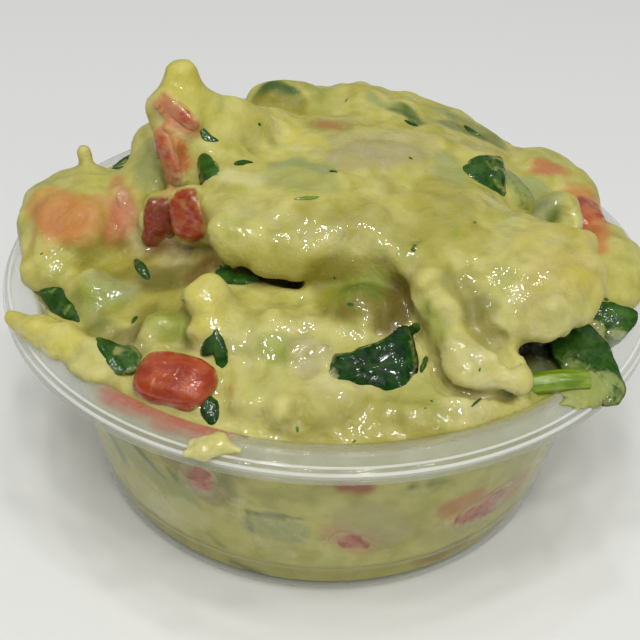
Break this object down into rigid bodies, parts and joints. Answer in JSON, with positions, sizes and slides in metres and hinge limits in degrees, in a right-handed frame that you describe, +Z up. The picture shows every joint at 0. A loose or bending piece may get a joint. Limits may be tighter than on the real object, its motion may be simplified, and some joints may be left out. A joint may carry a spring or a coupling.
{
  "type": "guacamole",
  "caption": "Chunky guacamole heaped above the rim of a squat clear plastic portion cup, with diced tomato, green leaves, a stem and onion.",
  "frame": {"origin": "middle of the cup's flat base", "axes": "+Z up along the cup's axis, -Y towards the side with the large dark leaf on the front slope, +X towards the lobe that hangs over the rim"},
  "size_m": [0.073, 0.073, 0.0467],
  "materials": {
    "cup": "thin clear plastic, slightly hazy",
    "guacamole": "moist yellow-green avocado mash, lumpy, with small wet glints",
    "tomato": "wet red tomato dice, partly coated with mash",
    "leaf": "wet dark green leaf",
    "stem": "wet bright green stem",
    "onion": "translucent whitish onion"
  },
  "bodies": {
    "root": {"cup": "cup", "guacamole": "guacamole", "stem": "stem", "tomato_front": "tomato", "tomato_slab": "tomato", "tomato_deep": "tomato", "tomato_horn": "tomato", "tomato_tip": "tomato", "tomato_left": "tomato", "tomato_band": "tomato", "tomato_right": "tomato", "tomato_pink": "tomato", "tomato_back_left": "tomato", "tomato_back_right": "tomato", "tomato_wall_left": "tomato", "tomato_wall_front": "tomato", "tomato_wall_right": "tomato", "leaf_front": "leaf", "leaf_rim": "leaf", "leaf_knuckle": "leaf", "leaf_under_slab": "leaf", "leaf_pale": "leaf", "leaf_left": "leaf", "leaf_hollow": "leaf", "leaf_horn": "leaf", "leaf_fold": "leaf", "leaf_film": "leaf", "leaf_right": "leaf", "leaf_corner": "leaf", "leaf_back": "leaf", "leaf_back_left": "leaf", "leaf_back_right": "leaf", "onion_top": "onion", "onion_front": "onion"}
  },
  "joints": []
}
